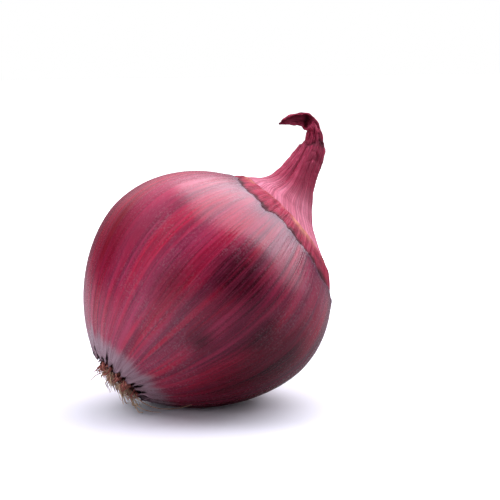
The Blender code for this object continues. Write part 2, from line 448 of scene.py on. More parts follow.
def mixed(tree, factor, first, second):
    """The first colour, turned into the second by factor."""
    node = add_node(tree, "ShaderNodeMix", {0: factor}, data_type="RGBA")
    for socket, value in ((node.inputs[6], first), (node.inputs[7], second)):
        if isinstance(value, bpy.types.NodeSocket):
            tree.links.new(value, socket)
        else:
            socket.default_value = (*value, 1)
    return node.outputs[2]


def ramped(tree, value, low, high, start=0.0, end=1.0):
    """A value from low to high, made one from start to end with an even S."""
    inputs = {"Value": value, "From Min": low, "From Max": high, "To Min": start, "To Max": end}
    return add_node(tree, "ShaderNodeMapRange", inputs, interpolation_type="SMOOTHSTEP").outputs[0]


def worked(tree, operation, first, second=0.0):
    """One sum on two values."""
    return add_node(tree, "ShaderNodeMath", {0: first, 1: second}, operation=operation).outputs[0]


def scaled(tree, first, second):
    """Two values multiplied."""
    return worked(tree, "MULTIPLY", first, second)


def between(tree, mask, start, end):
    """A mask made to run from start to end."""
    return ramped(tree, mask, 0.0, 1.0, start, end)


def vector_node(tree, operation, inputs):
    """One sum on vectors."""
    return add_node(tree, "ShaderNodeVectorMath", inputs, operation=operation).outputs


def masks(tree, names):
    """Masks kept on the piece, by their names."""
    nodes = [add_node(tree, "ShaderNodeAttribute", attribute_name=name) for name in names.split()]
    return [node.outputs["Fac"] for node in nodes]


def layered(tree, base, *layers):
    """Colours laid over the base in turn: (mask, strength, colour). The strength is a number or
    another mask, and 1 leaves the mask as it is."""
    for mask, strength, colour in layers:
        factor = mask if strength == 1 else scaled(tree, mask, strength)
        base = mixed(tree, factor, base, colour)
    return base


def new_group(name, inputs, outputs):
    """An empty node group with named sockets: (tree, input node, output node)."""
    tree = bpy.data.node_groups.new(name, "ShaderNodeTree")
    for label, kind, default in inputs:
        socket = tree.interface.new_socket(label, in_out="INPUT", socket_type=kind)
        socket.default_value = default
    for label, kind in outputs:
        tree.interface.new_socket(label, in_out="OUTPUT", socket_type=kind)
    return tree, tree.nodes.new("NodeGroupInput"), tree.nodes.new("NodeGroupOutput")


def streak_group():
    """Streaks that run with the grain: noise stretched along it, swayed a little by slower noise."""
    tree, given, result = new_group(
        "Lengthwise Streaks",
        [
            ("Around", "NodeSocketFloat", 6.0),
            ("Along", "NodeSocketFloat", 1.0),
            ("Sway", "NodeSocketFloat", 0.05),
            ("Low", "NodeSocketFloat", 0.4),
            ("High", "NodeSocketFloat", 0.6),
            ("Shift", "NodeSocketFloat", 0.0),
        ],
        [("Streaks", "NodeSocketFloat")],
    )
    grain = add_node(tree, "ShaderNodeAttribute", attribute_name="grain").outputs["Vector"]
    slow = add_node(tree, "ShaderNodeTexNoise", {"Vector": grain, "Scale": 2.5, "Detail": 1.0})
    centred = vector_node(tree, "SUBTRACT", {0: slow.outputs["Color"], 1: (0.5, 0.5, 0.5)})[0]
    sway = vector_node(tree, "SCALE", {0: centred, "Scale": given.outputs["Sway"]})[0]
    place = vector_node(tree, "ADD", {0: grain, 1: sway})[0]
    sides = given.outputs["Around"], given.outputs["Around"], given.outputs["Along"]
    stretch = add_node(tree, "ShaderNodeCombineXYZ", dict(zip("XYZ", sides))).outputs[0]
    place = vector_node(tree, "MULTIPLY", {0: place, 1: stretch})[0]
    place = vector_node(tree, "ADD", {0: place, 1: given.outputs["Shift"]})[0]
    inputs = {"Vector": place, "Scale": 1.0, "Detail": 3.0, "Roughness": 0.6}
    noise = add_node(tree, "ShaderNodeTexNoise", inputs)
    streaks = ramped(tree, noise.outputs["Fac"], given.outputs["Low"], given.outputs["High"])
    tree.links.new(streaks, result.inputs["Streaks"])
    return tree


def speckle_group():
    """Fine specks: noise on the piece's own coordinates, in the size of the specks."""
    tree, given, result = new_group(
        "Fine Speckle",
        [
            ("Fineness", "NodeSocketFloat", 1500.0),
            ("Low", "NodeSocketFloat", 0.45),
            ("High", "NodeSocketFloat", 0.65),
        ],
        [("Specks", "NodeSocketFloat")],
    )
    place = add_node(tree, "ShaderNodeTexCoord").outputs["Object"]
    inputs = {"Vector": place, "Scale": given.outputs["Fineness"], "Detail": 2.0, "Roughness": 0.7}
    noise = add_node(tree, "ShaderNodeTexNoise", inputs)
    specks = ramped(tree, noise.outputs["Fac"], given.outputs["Low"], given.outputs["High"])
    tree.links.new(specks, result.inputs["Specks"])
    return tree


def use_group(tree, name, values):
    """The output of a named group, placed with its own values in the order of its inputs."""
    node = add_node(tree, "ShaderNodeGroup", node_tree=bpy.data.node_groups[name])
    for socket, value in zip(node.inputs, values):
        socket.default_value = value
    return node.outputs[0]


def streaks(tree, table):
    """Streaks with the grain, one mask for each line of the table."""
    return [use_group(tree, "Lengthwise Streaks", values) for values in table]


def specks(tree, *table):
    """Fine specks, one mask for each (fineness, low, high)."""
    return [use_group(tree, "Fine Speckle", values) for values in table]


def new_material(name):
    """A material with its tree and its Principled shader."""
    material = bpy.data.materials.new(name)
    material.use_nodes = True
    return material, material.node_tree, material.node_tree.nodes["Principled BSDF"]


def dress(tree, shader, base, rough, relief, depth):
    """Gives the shader its colour, its roughness and a relief too fine for the mesh."""
    bump = add_node(tree, "ShaderNodeBump", {"Height": relief, "Distance": depth, "Strength": 1.0})
    for name, value in (("Base Color", base), ("Roughness", rough), ("Normal", bump.outputs["Normal"])):
        tree.links.new(value, shader.inputs[name])


GLOSSY_STREAKS = (  # how often around and along, sway, where they begin and are full, shift
    (5.0, 0.6, 0.06, 0.34, 0.66, 0.0),  # broad
    (13.0, 0.45, 0.035, 0.42, 0.62, 7.0),  # middle
    (24.0, 0.6, 0.02, 0.46, 0.66, 13.0),  # narrow
    (38.0, 0.8, 0.02, 0.36, 0.74, 3.0),  # veins
    (110.0, 2.4, 0.01, 0.35, 0.75, 5.0),  # hairs
)
MATTE_STREAKS = (
    (9.0, 0.7, 0.1, 0.38, 0.64, 0.0),  # middle
    (34.0, 0.9, 0.05, 0.44, 0.62, 9.0),  # lines
    (90.0, 2.5, 0.03, 0.4, 0.7, 2.0),  # hairs
)
FIBRE_STREAKS = ((2.2, 1.5, 0.2, 0.4, 0.6, 0.0),)


def glossy_skin(colours):
    """The outer skin: crimson and rose streaks under plum ones, maroon patches, fine veins and specks,
    lilac-grey where it gathers round the roots, a dry purplish torn border, painted shade on its lining and
    darkening towards its split tips."""
    material, tree, shader = new_material("glossy_red_skin")
    broad, middle, narrow, veins, hairs = streaks(tree, GLOSSY_STREAKS)
    fine, bloom = specks(tree, (1500.0, 0.40, 0.70), (60.0, 0.46, 0.62))
    deep, crown, dusk, patch, edge, hollow = masks(tree, "deep crown dusk patch edge hollow")
    shallow = worked(tree, "SUBTRACT", 1.0, deep)
    dust = scaled(tree, fine, between(tree, bloom, 0.03, 0.20))
    gathered = worked(tree, "ADD", crown, scaled(tree, middle, -0.3))
    base = layered(
        tree,
        mixed(tree, broad, colours.crimson, colours.rose),
        (middle, 0.7, colours.plum),
        (narrow, 0.42, colours.plum),
        (dusk, 1, colours.plum),
        (deep, between(tree, middle, 1.0, 0.7), colours.deep),
        (patch, between(tree, veins, 0.8, 1.0), colours.maroon),
        (veins, 0.4, colours.maroon),
        (hairs, between(tree, shallow, 0.08, 0.34), colours.rose),
        (dust, scaled(tree, shallow, shallow), colours.lilac),
        (ramped(tree, gathered, 0.0, 0.85, 0.0, 0.92), 1, colours.lilac),
        (scaled(tree, worked(tree, "ADD", narrow, veins), crown), 0.42, colours.plum),
        (edge, 1, colours.torn_edge),
        # painted shade on the lining, and darkening towards the split tips
        (hollow, 1, colours.hollow),
    )
    uneven = worked(tree, "ADD", scaled(tree, veins, 0.9), fine)
    relief = worked(tree, "ADD", scaled(tree, veins, 0.7), scaled(tree, hairs, 0.3))
    dress(tree, shader, base, ramped(tree, uneven, 0.0, 1.9, 0.21, 0.31), relief, 0.00006)
    return material


def matte_skin(colours):
    """The second skin and the neck: a mottled red band up to its dry rim, gold and partly a painted
    highlight, then paler where the neck flares, lighter still as a painted highlight, redder up the neck,
    and painted shade in its folds and under its collar."""
    material, tree, shader = new_material("matte_red_skin")
    middle, lines, hairs = streaks(tree, MATTE_STREAKS)
    fine, mottled = specks(tree, (1600.0, 0.45, 0.7), (330.0, 0.44, 0.66))
    band, flare, neck, dry, rim, hollow = masks(tree, "band flare neck dry rim hollow")
    base = layered(
        tree,
        # the flare colour is partly a painted highlight
        mixed(tree, flare, colours.shoulder, colours.flare),
        (neck, 1, colours.neck),
        (dry, 1, colours.dry_tip),
        (middle, 0.45, colours.shoulder),
        (lines, 0.36, colours.maroon),
        (hairs, 0.25, colours.flare),
        (fine, 0.10, colours.lilac),
        (mottled, between(tree, band, 0.10, 0.38), colours.maroon),
        # the rim's dry gold, partly a painted highlight
        (rim, ramped(tree, middle, 0.2, 0.9, 0.7, 1.0), colours.rim),
        # painted shade and painted shadows on the bulb and neck
        (hollow, 1, colours.hollow),
    )
    shader.inputs["Specular IOR Level"].default_value = 0.4
    shader.inputs["IOR"].default_value = 1.25
    relief = worked(tree, "ADD", scaled(tree, lines, -0.8), scaled(tree, hairs, 0.4))
    dress(tree, shader, base, between(tree, lines, 0.46, 0.6), relief, 0.00015)
    return material


def corky_plate(colours):
    """The root plate: crumbly cork, with painted shade in its pits."""
    material, tree, shader = new_material("corky_root_plate")
    coarse, fine = specks(tree, (700.0, 0.4, 0.6), (2200.0, 0.4, 0.65))
    # the hollow colour is painted shade in the pits
    base = layered(tree, mixed(tree, coarse, colours.hollow, colours.cork), (fine, 0.5, colours.bark))
    dress(tree, shader, base, between(tree, fine, 0.8, 0.95), worked(tree, "ADD", coarse, fine), 0.0003)
    return material


def fibrous(name, pale, dark, specked):
    """Dry plant fibre, dark at the foot and paler along it, with lengthwise lines and specks."""
    material, tree, shader = new_material(name)
    (lines,) = streaks(tree, FIBRE_STREAKS)
    (fine,) = specks(tree, (2600.0, 0.4, 0.65))
    (reach,) = masks(tree, "reach")
    base = mixed(tree, ramped(tree, reach, -0.3, 0.5), dark, pale)
    base = layered(tree, base, (lines, 0.8, dark), (fine, 0.3, specked))
    dress(tree, shader, base, between(tree, lines, 0.7, 0.9), lines, 0.0001)
    return material


# Pieces

SKIN_COLUMNS = 480
SKIN_ROWS = (14, 64, 39)  # by the torn edge, down the bulb and round the crown
LINING_ROWS = (8, 8, 5)  # back up again
BULB_COLUMNS = 320
BULB_ROWS = (40, 62, 40, 34, 24, 40, 14, 12)
PLATE_COLUMNS = 96
SWELLS, RIBS, PLEATS, CURL, FRAY = 0.00012, 0.00005, 0.00022, 0.00026, 0.0007  # relief of the skin
GREY_FADE = (0.0050, 0.0150)  # from the crown, over which the lilac-grey zone ends
DUSK_REACH = 0.0085  # of the plum shade below the torn edge
BORDER = 0.0016  # width of the skin's dry border
TIP_DARK_REACH = 0.0008  # of the dark tips round the roots
DARK_PATCHES = (  # angle and its spread in degrees, height and its spread in metres, strength
    (-110, 11, 0.002, 0.0085, 1.2),
    (-95, 12, 0.001, 0.0075, 1.0),
    (-78, 12, -0.006, 0.0080, 0.8),
    (-95, 7, -0.019, 0.0042, 0.9),
    (-60, 15, -0.005, 0.0130, 1.0),
    (-34, 20, 0.004, 0.0180, 0.9),
    (-150, 7, 0.010, 0.0100, 0.35),
    (158, 14, -0.008, 0.0110, 0.8),
    (104, 11, 0.009, 0.0090, 0.9),
    (64, 16, -0.012, 0.0100, 0.7),
    (24, 18, 0.012, 0.0110, 0.6),
)
DEEP_PLACES = (  # the same, for the deepest crimson
    (-176, 26, -0.012, 0.0190, 1.0),
    (-124, 9, -0.012, 0.0090, 0.7),
    (-62, 14, -0.022, 0.0100, 0.6),
    (128, 12, 0.004, 0.0140, 0.6),
    (76, 14, -0.016, 0.0100, 0.5),
)
TEARS = (  # bigger tears of the torn edge: angle and half width in degrees, depth in metres
    (-170, 20.0, -0.0018),
    (180, 16.0, -0.0014),
    (-121, 4.0, 0.0012),
    (-101, 3.0, 0.0008),
    (-66, 5.0, 0.0007),
    (38, 6.0, 0.0022),
    (112, 4.0, 0.0014),
    (166, 5.0, 0.0010),
)
RIM_GOLD_AND_HIGHLIGHT = (  # where the second skin's dry edge is brightest, partly its gold and partly a painted highlight: angle and spread in degrees, strength
    (-90, 15, 1.0),
    (-163, 9, 0.6),
    (20, 26, 0.8),
    (118, 30, 0.9),
)


def places_of(table, angle, along):
    """Soft round places at these angles and heights, the strongest wherever they overlap."""
    total = 0
    for turned, turned_spread, height, height_spread, strength in table:
        near = bell(around(angle, math.radians(turned)), math.radians(turned_spread))
        total = np.maximum(total, strength * near * bell(along - height, height_spread))
    return total


def bumps(table, angle):
    """Soft bumps round the axis, one for each line of the table, added up."""
    return sum(
        size * bell(around(angle, math.radians(turned)), math.radians(spread))
        for turned, spread, size in table
    )


def torn_height(sizes, angle):
    """Height of the outer skin's torn edge: a tilted ring that wanders in waves of several widths,
    with fine jags."""
    tears = 0.5 * np.sin(3 * angle + 0.4) + 0.3 * np.sin(7 * angle + 1.9) + 0.2 * np.sin(13 * angle)
    jags = waves(angle, (29, 41, 53, 67, 83), 3) + waves(angle, (17, 37, 71), 8) ** 2
    edge = height_at(sizes, sizes.torn_radius) - sizes.torn_tilt * np.cos(angle) - bumps(TEARS, angle)
    return edge + sizes.torn_depth * (tears + 0.4 * jags)


def notch_depths(sizes, angle):
    """How far back the skin is split round the roots: pointed notches of uneven width and depth."""
    chance = np.random.default_rng(11)
    spacing = 2 * math.pi / sizes.notches
    centres = spacing * (np.arange(sizes.notches) + chance.uniform(-0.32, 0.32, sizes.notches))
    widths = spacing * chance.uniform(0.26, 0.50, sizes.notches)
    depths = sizes.notch_depth * chance.uniform(0.35, 1.0, sizes.notches)
    near = 1 - np.abs(around(angle[..., None], centres)) / widths
    split = (depths * np.clip(near, 0, 1) ** 0.9).max(axis=-1)
    return split + 0.0003 * np.abs(waves(angle, (31, 59, 97), 5))


def uneven_rows(marks, counts):
    """Numbers from 0 to 1 for the rows between marks, with this many rows in each stretch."""
    ends = np.cumsum([0, *counts])
    return np.interp(np.arange(ends[-1] + 1), ends, marks)[:, None]


def skin_relief(places, angle, run, top, foot):
    """Height of the skin over a smooth bulb: slow swells, lengthwise ribs, pleats that deepen
    towards the roots, a torn edge that lifts and curls unevenly, and frayed tips at the crown."""
    swells = SWELLS * waves(angle + 3 * run, (5, 9, 14), 1)
    ribs = RIBS * waves(angle, (38, 47, 61, 74), 2) * smooth_step(run, top, top + 0.02)
    pleats = PLEATS * waves(angle, (27, 40, 54), 4) * np.exp((run - foot) / 0.0035)
    curled = CURL * (0.7 + waves(angle, (6, 11, 23), 6)) * np.exp((top - run) / 0.0013)
    frayed = FRAY * np.exp((run - foot) / 0.0016) * clouds(places, 0.0012, 12)
    return swells + ribs + pleats + curled + frayed


def make_outer_skin(sizes, colours):
    """A thin shell: the outer side from the torn edge down to the split crown, and the lining back
    up again, joined in a ring at both edges."""
    angle = angles(SKIN_COLUMNS)
    start, end = height_at(sizes, 0.5 * sizes.torn_radius), depth_at(sizes, 0.9 * sizes.crown_radius)
    curve = bulb_curve(sizes, start, end, 1500)
    distance = run_along(curve)
    top = np.interp(-torn_height(sizes, angle), -curve[:, 1], distance)
    crown = np.interp(depth_at(sizes, sizes.crown_radius), -curve[:, 1], distance)
    foot = crown - notch_depths(sizes, angle)
    down = uneven_rows((0, 0.06, 0.84, 1), SKIN_ROWS)
    back = uneven_rows((1, 0.86, 0.1, 0), LINING_ROWS)
    run = top + (foot - top) * np.concatenate([down, back])
    inner = np.arange(len(run))[:, None] >= len(down)
    radius, along = (np.interp(run, distance, side) for side in curve.T)
    places = laid(sizes, radius, angle, along)
    depth = np.where(inner, sizes.skin_thickness, 0)
    lift = skin_relief(places, angle, run, top, foot) - depth
    places = kept_above(places + outward(places) * lift[..., None], depth)
    mesh = make_mesh("outer_skin", places, ring_faces(*places.shape[:2], joined=True))
    set_grain(mesh, angle, run / sizes.bulb_radius)
    ragged = clouds(side_by_side(9 * np.cos(angle), 9 * np.sin(angle), 60 * run), 1, 9)
    reach = crown - run + 0.0016 * ragged + 0.0012 * waves(angle, (13, 22, 36), 10)
    set_masks(
        mesh,
        patch=places_of(DARK_PATCHES, angle, along) * (1 + 0.6 * ragged),
        deep=places_of(DEEP_PLACES, angle, along) * (1 + 0.3 * ragged),
        crown=1 - smooth_step(reach, *GREY_FADE),
        dusk=0.95 * np.exp((top - run) / DUSK_REACH) * (1 + 0.4 * ragged),
        edge=0.7 * (1 - smooth_step(run - top, 0, BORDER)),
        # painted shade on the skin's lining, and darkening towards its split tips round the roots
        hollow=np.where(inner, 0.85, 0.75 * np.exp((run - foot) / TIP_DARK_REACH)),
    )
    add_piece("outer_skin", mesh, glossy_skin(colours), "glossy_skin", "outer_skin")


COLLAR_START = 0.0262  # above the neck's foot, as are the next ones
LEAF_START = 0.0348
LEAF_SHADE = 0.0368
DRIED = (0.012, 0.030)  # between these the neck becomes crumpled
NECK_WIDTHS = np.array(  # above the neck's foot: half widths on the fold's side, outside it and across
    [
        (0.0000, 0.0190, 0.0190, 0.0190),
        (0.0040, 0.0150, 0.0128, 0.0128),
        (0.0080, 0.0110, 0.0092, 0.0093),
        (0.0120, 0.0077, 0.0070, 0.0073),
        (0.0160, 0.0058, 0.0062, 0.0060),
        (0.0200, 0.0047, 0.0058, 0.0053),
        (0.0240, 0.0040, 0.0054, 0.0048),
        (0.0262, 0.0038, 0.0047, 0.0044),
        (0.0284, 0.0034, 0.0036, 0.0036),
        (0.0310, 0.0035, 0.0025, 0.0029),
        (0.0322, 0.0034, 0.0022, 0.0027),
        (0.0330, 0.0044, 0.0021, 0.0026),
        (0.0350, 0.0046, 0.0019, 0.0024),
        (0.0380, 0.0043, 0.0017, 0.0020),
        (0.0400, 0.0041, 0.0013, 0.0017),
        (0.0420, 0.0036, 0.0010, 0.0015),
        (0.0440, 0.0028, 0.0009, 0.0012),
        (0.0460, 0.0015, 0.0008, 0.0008),
        (0.0476, 0.0003, 0.0002, 0.0002),
    ]
)


def neck_widths(up):
    """Half widths of the neck, this far above its foot, in straight stretches between the chosen
    ones: towards the fold, away from it and across."""
    return [np.interp(up, NECK_WIDTHS[:, 0], NECK_WIDTHS[:, side]) for side in (1, 2, 3)]


def rim_height(sizes, angle):
    """Height of the second skin's edge: a tilted ring with slow waves."""
    edge = foot_height(sizes) - sizes.rim_drop - sizes.rim_tilt * np.cos(angle)
    return edge + 0.0006 * waves(angle, (3, 5, 8), 14) + 0.00022 * waves(angle, (17, 29, 43), 15)


def neck_folds(sizes, angle, up):
    """The share by which the neck is wider or narrower: pleats, and sharp lengthwise creases that
    deepen towards its end."""
    share = up / sizes.neck_length
    depth = 0.085 * smooth_step(share, 0.02, 0.45)
    twist = angle + 0.6 * share
    pleats = 0.5 * np.cos(7 * angle + 0.5) + 0.3 * np.cos(3 * angle - 0.9)
    creases = np.abs(np.cos(5.5 * twist + 0.8)) ** 0.4 + np.abs(np.cos(9.5 * twist - 0.4)) ** 0.4
    return 1 + depth * (pleats + creases - 1.6)


def past_collar(angle, up):
    """Height above the edge of the dried collar, which climbs round the neck in steps."""
    return up - COLLAR_START - 0.0014 * np.cos(angle + 0.9) - 0.0011 * waves(angle, (3, 5, 9), 16)


def leaf_hollow(angle, up):
    """How far the dried end is pressed in like a folded leaf, between its two edges, on the side
    that angle -90 degrees faces. It begins at a slanting crease."""
    start = LEAF_START + 0.0012 * np.cos(angle)
    across = around(angle, math.radians(-100)) / math.radians(50)
    return np.exp(-(across**4)) * smooth_step(up, start, start + 0.0007)


def neck_places(sizes, angle, up):
    """The neck's surface: two half ellipses, one towards the fold and one away from it, folded,
    narrower above the collar and hollow along the leaf. Returns radius, angle and both masks."""
    fold_side, outer_side, across = neck_widths(up)
    above = smooth_step(past_collar(angle, up), 0, 0.0004)
    hollow = leaf_hollow(angle, up)
    tight = neck_folds(sizes, angle, up) * (1 - 0.15 * above)
    ahead = np.where(np.cos(angle) > 0, outer_side, fold_side) * np.cos(angle) * tight
    aside = across * np.sin(angle) * tight * (1 - 1.35 * hollow)
    return np.hypot(ahead, aside), np.arctan2(aside, ahead), hollow, above


def dried_relief(places, up):
    """Crumples and sharp creases of the dried neck, calmer at its very end."""
    crumple = 0.00034 * clouds(places, 0.0027, 21) + 0.00020 * clouds(places, 0.0012, 22)
    crease = -0.00045 * (1 - np.abs(clouds(places, 0.0031, 23))) ** 6
    return smooth_step(up, *DRIED) * (1 - 0.5 * smooth_step(up, 0.043, 0.046)) * (crumple + crease)


def bulb_levels(sizes, angle, run, rim, torn, end):
    """How far the bulb stands out from the smooth curve: sunk under the outer skin, rising to the
    second skin's rim, stepped down past it and level again up the neck, and sunk at the crown."""
    under = -(sizes.skin_thickness + sizes.skin_gap)
    slope = smooth_step((run - rim) / (torn - rim), 0.15, 0.95)
    shoulder = 0.00018 * (1 - slope) + under * slope
    past = -0.00050 * np.exp(np.minimum(run - rim, 0) / 0.0035)
    beyond = smooth_step(rim - run, -0.00010, 0.00012)
    lip = 0.00016 * bell(run - rim - 0.0004, 0.0005) * (1 + waves(angle, (9, 16, 25), 18))
    sunk = 0.0008 * smooth_step(run, end - 0.012, end - 0.006)
    return shoulder + (past - shoulder) * beyond + lip - sunk, beyond


def bulb_runs(rim, torn, end):
    """Distances from the tip to the rows, which are close together up the neck and at both edges,
    and follow the rim where they are near it."""
    middle, lowest = float(rim.mean()), float(torn.max())
    marks = (0, 0.006, 0.018, 0.030, middle - 0.0012, middle + 0.0012, lowest + 0.003, end - 0.012, end)
    rows = uneven_rows(marks, BULB_ROWS)
    return rows + (rim - middle) * bell(rows - middle, 0.0045)


def painted_shade_places(angle, run, rim, torn, end, up, hollow):
    """Painted shade on the bulb, from 0 to 1: a painted shadow under the torn edge and along the foot of
    the rim, and painted shade in the leaf, round the root plate and under the collar."""
    near_torn = run - torn + 0.0010 * waves(angle, (7, 13, 19, 31), 20)
    shadow = 0.85 * smooth_step(near_torn, -0.0036, -0.0012)
    shadow = shadow * (1 - smooth_step(run, end - 0.02, end - 0.01))
    foot_line = 0.75 * bell(run - rim + 0.0009, 0.0006)
    recess = bell(up - LEAF_SHADE - 0.0012 * np.cos(angle), 0.0012)
    leaf = smooth_step(hollow, 0.35, 0.9) * (0.15 + 0.6 * recess)
    seat = 0.9 * smooth_step(run, end - 0.009, end - 0.006)
    undercut = bell(past_collar(angle, up) - 0.0004, 0.0010)
    undercut = 0.95 * undercut * (0.7 + 0.6 * waves(angle, (2, 5, 7), 19))
    undercut = np.clip(undercut, 0, 0.8) * (up > 0.02)
    return np.maximum.reduce(np.broadcast_arrays(shadow, foot_line, leaf + seat, undercut))


def make_bulb(sizes, colours):
    """The bulb and its dried neck, grown as one: rows from the tip down the neck, over the second
    skin's rim, under the outer skin and across the seat of the root plate."""
    angle = angles(BULB_COLUMNS)
    foot, crown = foot_height(sizes), depth_at(sizes, sizes.crown_radius)
    neck_up = np.linspace(sizes.neck_length + sizes.leaf_point, 0, 900, endpoint=False)
    neck = np.stack([neck_widths(neck_up)[2], neck_up + foot], axis=1)
    body = bulb_curve(sizes, foot, crown, 1500)
    curve = np.concatenate([neck, body[body[:, 1] > sizes.plate_thickness - crown]])
    distance = run_along(curve)
    rim = np.interp(-rim_height(sizes, angle), -curve[:, 1], distance)
    torn = np.interp(-torn_height(sizes, angle), -curve[:, 1], distance)
    end = distance[-1]
    run = bulb_runs(rim, torn, end)
    radius, along = (np.interp(run, distance, side) for side in curve.T)
    up = along - foot
    neck_radius, neck_angle, hollow, above = neck_places(sizes, angle, up)
    radius, turned = np.where(up > 0, [neck_radius, neck_angle], [radius, angle + 0 * radius])
    places = laid(sizes, radius, turned, along)
    level, beyond = bulb_levels(sizes, angle, run, rim, torn, end)
    upper = (0.5 - 0.5 * np.cos(angle)) * (up < 0.004)
    swelling = smooth_step(run, rim - 0.006, rim) * (1 - smooth_step(run, rim, torn - 0.0015))
    level = level + 0.0002 * upper * swelling + dried_relief(places, up)
    places = places + outward(places) * level[..., None]
    mesh = capped_tube("bulb", kept_above(places, sizes.skin_thickness + sizes.skin_gap))
    set_grain(mesh, angle, run / sizes.bulb_radius)
    # the rim's dry gold, brightest where it also carries a painted highlight
    gold_and_highlight = bumps(RIM_GOLD_AND_HIGHLIGHT, angle)
    edge = smooth_step(run - rim, -0.0003, 0.0006) * bell(run - rim, 0.0010 + 0.0014 * gold_and_highlight)
    set_masks(
        mesh,
        flare=beyond * (1 - smooth_step(up, 0.005, 0.017)),
        neck=smooth_step(up, 0.006, 0.020),
        dry=np.maximum(0.7 * smooth_step(up, 0.022, 0.032), above),
        rim=edge * (0.2 + 0.75 * gold_and_highlight + 0.3 * waves(angle, (11, 19, 27), 17)),
        band=smooth_step(run - rim, -0.0002, 0.0004) * (1 - smooth_step(run - torn, 0.001, 0.004)),
        # painted shade and painted shadows, laid on with the hollow colour
        hollow=painted_shade_places(angle, run, rim, torn, end, up, hollow),
    )
    add_piece("bulb", mesh, matte_skin(colours), "matte_skin", "bulb")


def plate_radius(sizes):
    """The root plate's radius."""
    return sizes.crown_radius - sizes.plate_clearance


def make_root_plate(sizes, colours):
    """The corky disc: a flat top, a rim and a crumbly dome, in rings from the middle of one side
    round to the middle of the other."""
    angle = angles(PLATE_COLUMNS)
    outer = plate_radius(sizes)
    top = -depth_at(sizes, sizes.crown_radius) + sizes.plate_thickness - sizes.cad_gap
    inwards = np.linspace(1, 0.02, 30)
    dome = top - sizes.plate_thickness - sizes.plate_dome * (1 - inwards**2)
    back = inwards[::-6]
    radius = outer * np.concatenate([back, inwards])[:, None]
    along = np.concatenate([0 * back + top, dome])[:, None]
    places = laid(sizes, radius + 0 * angle, angle, along)
    rough = clouds(places, 0.0011, 31) + 0.5 * clouds(places, 0.0005, 32)
    places = places + outward(places) * (0.0002 * (rough - 1))[..., None]
    mesh = capped_tube("root_plate", kept_above(places, sizes.cad_gap))
    add_piece("root_plate", mesh, corky_plate(colours), "root_plate", "root_plate")


HELPER = np.array([0.31, 0.86, 0.41])  # a direction that no fibre runs in
DOWN_THE_PLATE = np.array([0.68, 0, -0.73])  # the way in which loose fibres droop
LONG_ROOTS = 7
LONG_ROOT = (0.0050, 0.0072)  # shortest and longest
SHORT_ROOT = (0.0020, 0.0036)
HAIRS, LONG_HAIRS = 130, 30
FLAKES = 150
LONG_FIBRES = (  # first place, last place and how far the middle bows out
    ((-0.0285, -0.0055, 0.0075), (-0.0125, -0.0168, 0.0036), (-0.0022, -0.0008, -0.0030)),
    ((-0.0290, -0.0035, 0.0070), (-0.0208, -0.0122, 0.0010), (-0.0018, -0.0004, -0.0016)),
    ((-0.0345, -0.0005, 0.0125), (-0.0392, 0.0010, 0.0098), (-0.0004, 0.0000, 0.0005)),
)


def swept(routes, widths, thickness, sides):
    """Rings round routes: places (route, row, side). Each ring is an ellipse of these half widths,
    thickness times as thick, in the plane square to its route."""
    tangent = unit(np.gradient(routes, axis=1))
    wide = unit(np.cross(tangent, HELPER))
    thin = thickness * np.cross(tangent, wide)
    turned = np.linspace(0, 2 * math.pi, sides, endpoint=False)[:, None]
    flat = wide[:, :, None] * np.cos(turned) + thin[:, :, None] * np.sin(turned)
    return routes[:, :, None] + widths[:, :, None, None] * flat


def bundle(name, rings):
    """One mesh of many capped tubes, with their grain and how far along each vertex is."""
    tubes, rows, sides = rings.shape[:3]
    number = np.arange(tubes)[:, None, None]
    first = number * rows * sides
    quads = (ring_faces(rows, sides)[None] + first).reshape(-1, 4)
    start = np.arange(sides) + first[:, 0]
    mesh = make_mesh(name, rings, quads, [start[:, ::-1], start + (rows - 1) * sides])
    turned = np.linspace(0, 2 * math.pi, sides, endpoint=False)
    reach = np.linspace(0, 1, rows)[:, None]
    set_grain(mesh, turned + 0 * number, number * 3.7 + reach[None])
    set_masks(mesh, reach=reach + 0 * rings[..., 0])
    return mesh


def drooped(routes, run, droop, sway, size, seed, shift=0):
    """Routes that droop down the plate and are swayed by smooth noise, most at their ends."""
    routes = routes + (droop * run**1.4)[..., None] * DOWN_THE_PLATE
    noise = side_by_side(*(clouds(routes + shift, size, seed + axis) for axis in range(3)))
    return routes + sway * run[..., None] * noise


def root_route(sizes, index, chance):
    """One root's middle line: out from the plate, splayed away from its centre, curling and
    drooping. Golden-angle steps spread the feet, and the outermost are the long ones."""
    roots = len(ROOT_NODES)
    spread = math.sqrt((index + 0.5) / roots)
    angle = index * math.pi * (3 - math.sqrt(5))
    plate = plate_radius(sizes)
    foot = (plate - 2 * sizes.root_radius) * spread
    dome = sizes.plate_dome * (1 - (foot / plate) ** 2)
    surface = -depth_at(sizes, sizes.crown_radius) - 2 * sizes.cad_gap - dome
    length = chance.uniform(*(LONG_ROOT if index >= roots - LONG_ROOTS else SHORT_ROOT))
    splay = 0.75 * spread
    curl = chance.uniform(-0.12, 0.12)
    run = np.linspace(0, 1, 28)
    radius = foot + length * splay * run**1.3
    depth = surface - sizes.root_radius * splay - 0.7 * length * (1 - 0.35 * splay) * run
    route = laid(sizes, radius, angle + curl * run**2, depth)
    return drooped(route, run, 0.7 * length, 0.0007, 0.0021, 41, 3 * index)


def make_roots(sizes, colours):
    """The main roots, each its own curly tapering tube, flattened as dried roots are."""
    chance = random.Random(7)
    material = fibrous("dry_root", colours.straw, colours.bark, colours.straw)
    for index, name in enumerate(ROOT_NODES):
        route = root_route(sizes, index, chance)
        run = np.linspace(0, 1, len(route))
        width = 0.75 * sizes.root_radius * (1 - 0.65 * run)
        width = width * (1 + 0.25 * clouds(route, 0.0009, 44 + index))
        route = kept_above(route, sizes.root_radius)
        mesh = bundle(name, swept(route[None], width[None], 0.7, 10))
        add_piece(name, mesh, material, "dry_root", name)


